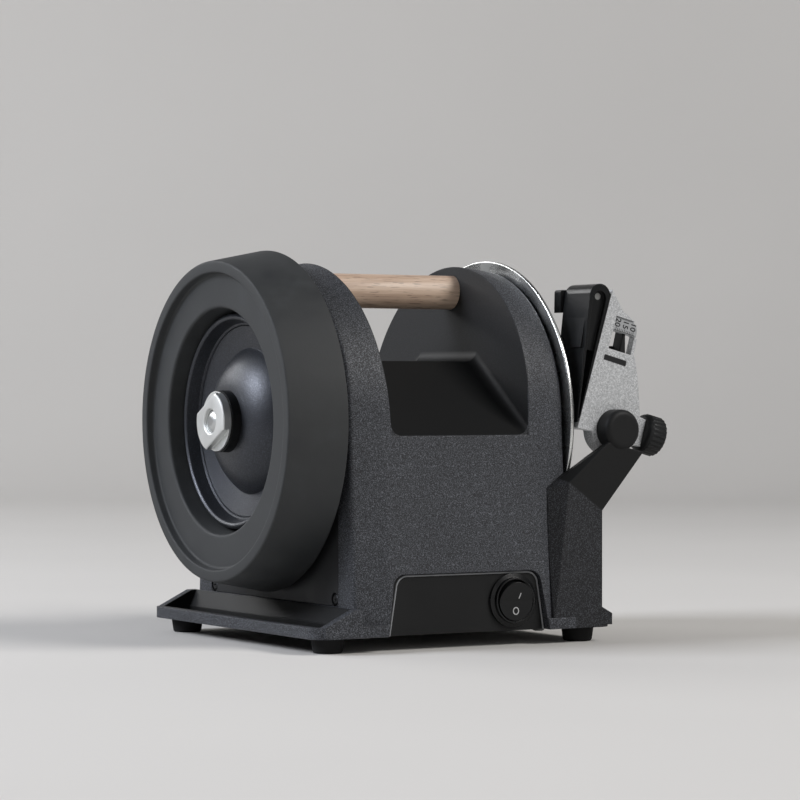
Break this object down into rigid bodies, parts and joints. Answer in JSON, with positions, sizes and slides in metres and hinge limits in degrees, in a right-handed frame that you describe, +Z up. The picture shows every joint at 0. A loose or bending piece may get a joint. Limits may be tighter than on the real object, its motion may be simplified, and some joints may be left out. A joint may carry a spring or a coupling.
{
  "type": "electric knife sharpener",
  "caption": "Bench-top electric knife sharpener with a honing wheel, a grinding wheel, a wooden carry handle and a tilting angle guide.",
  "frame": {"origin": "on the surface under the feet, under the middle of the bounding box", "axes": "+X along the shaft towards the grinding wheel, -Y to the front with the switch, +Z up"},
  "size_m": [0.1906, 0.165, 0.1715],
  "materials": {
    "textured_casting": "fine textured dark grey powder coat",
    "composite": "matte dark composite",
    "hub_coat": "speckled grey",
    "steel": "machined",
    "bright_steel": "bright",
    "guide_silver": "grainy silver paint",
    "black_plastic": "satin black",
    "rubber": "matt",
    "oak": "oiled oak",
    "diamond": "fine grit",
    "copper": "enamelled winding",
    "laminations": "stacked",
    "zinc": "plain",
    "scale_grey": "satin"
  },
  "bodies": {
    "frame": {"angle_pointer": "black_plastic", "base_plate": "steel", "base_screws": "bright_steel", "bearing_left": "steel", "bearing_right": "steel", "capacitor": "black_plastic", "cord_gland": "black_plastic", "foot_front_left": "rubber", "foot_front_right": "rubber", "foot_rear_left": "rubber", "foot_rear_right": "rubber", "foot_screws": "bright_steel", "guide_support": "textured_casting", "handle": "oak", "handle_screws": "bright_steel", "housing": "textured_casting", "left_cover": "black_plastic", "left_cover_screws": "bright_steel", "motor_bracket_left": "zinc", "motor_bracket_right": "zinc", "motor_stator": "laminations", "motor_winding_left": "copper", "motor_winding_right": "copper", "pivot_nut": "steel", "pivot_pin": "steel", "right_cover": "black_plastic", "right_cover_screws": "bright_steel", "support_screws": "bright_steel", "switch_body": "black_plastic", "switch_panel": "black_plastic", "switch_terminals": "copper"},
    "wheels": {"main_shaft": "steel", "spacer_left": "steel", "spacer_right": "steel", "honing_ring": "composite", "honing_hub": "hub_coat", "honing_washer": "black_plastic", "honing_nut": "bright_steel", "grinding_disc": "steel", "diamond_ring": "diamond", "grinding_washer": "steel", "grinding_nut": "bright_steel", "main_gear": "steel"},
    "rotor": {"motor_pinion": "steel", "motor_rotor": "laminations", "motor_shaft": "steel"},
    "rocker": {"switch_rocker": "black_plastic"},
    "guide": {"guide_body": "guide_silver", "scale_plate": "scale_grey", "blade_rest": "black_plastic", "clamp_pin": "steel", "clamp_leaf": "steel"},
    "lever": {"clamp_lever": "black_plastic"},
    "knob": {"lock_knob": "black_plastic", "lock_stud": "steel"}
  },
  "joints": [
    {"name": "wheel_spin", "type": "hinge", "parent": "frame", "child": "wheels", "pos_m": [-0.0103, -0.00095, 0.0966], "axis": [1, 0, 0], "continuous": true},
    {"name": "rotor_spin", "type": "hinge", "parent": "frame", "child": "rotor", "pos_m": [-0.0103, -0.00095, 0.04248], "axis": [1, 0, 0], "continuous": true},
    {"name": "switch_rock", "type": "hinge", "parent": "frame", "child": "rocker", "pos_m": [0.0133, -0.07585, 0.0196], "axis": [1, 0, 0], "range_deg": [-14, 0]},
    {"name": "guide_tilt", "type": "hinge", "parent": "frame", "child": "guide", "pos_m": [0.0667, -0.06995, 0.0927], "axis": [0, 1, 0], "range_deg": [-5, 5]},
    {"name": "lever_swing", "type": "hinge", "parent": "guide", "child": "lever", "pos_m": [0.05976, -0.05095, 0.1514], "axis": [0, 1, 0], "range_deg": [0, 10], "stiffness_Nm_per_rad": 0.05},
    {"name": "knob_turn", "type": "hinge", "parent": "guide", "child": "knob", "pos_m": [0.08679, -0.07085, 0.09042], "axis": [0.9659, 0, -0.2588], "range_deg": [-180, 180]}
  ],
  "couplings": [
    {"joint": "rotor_spin", "follows": "wheel_spin", "ratio": -5}
  ]
}
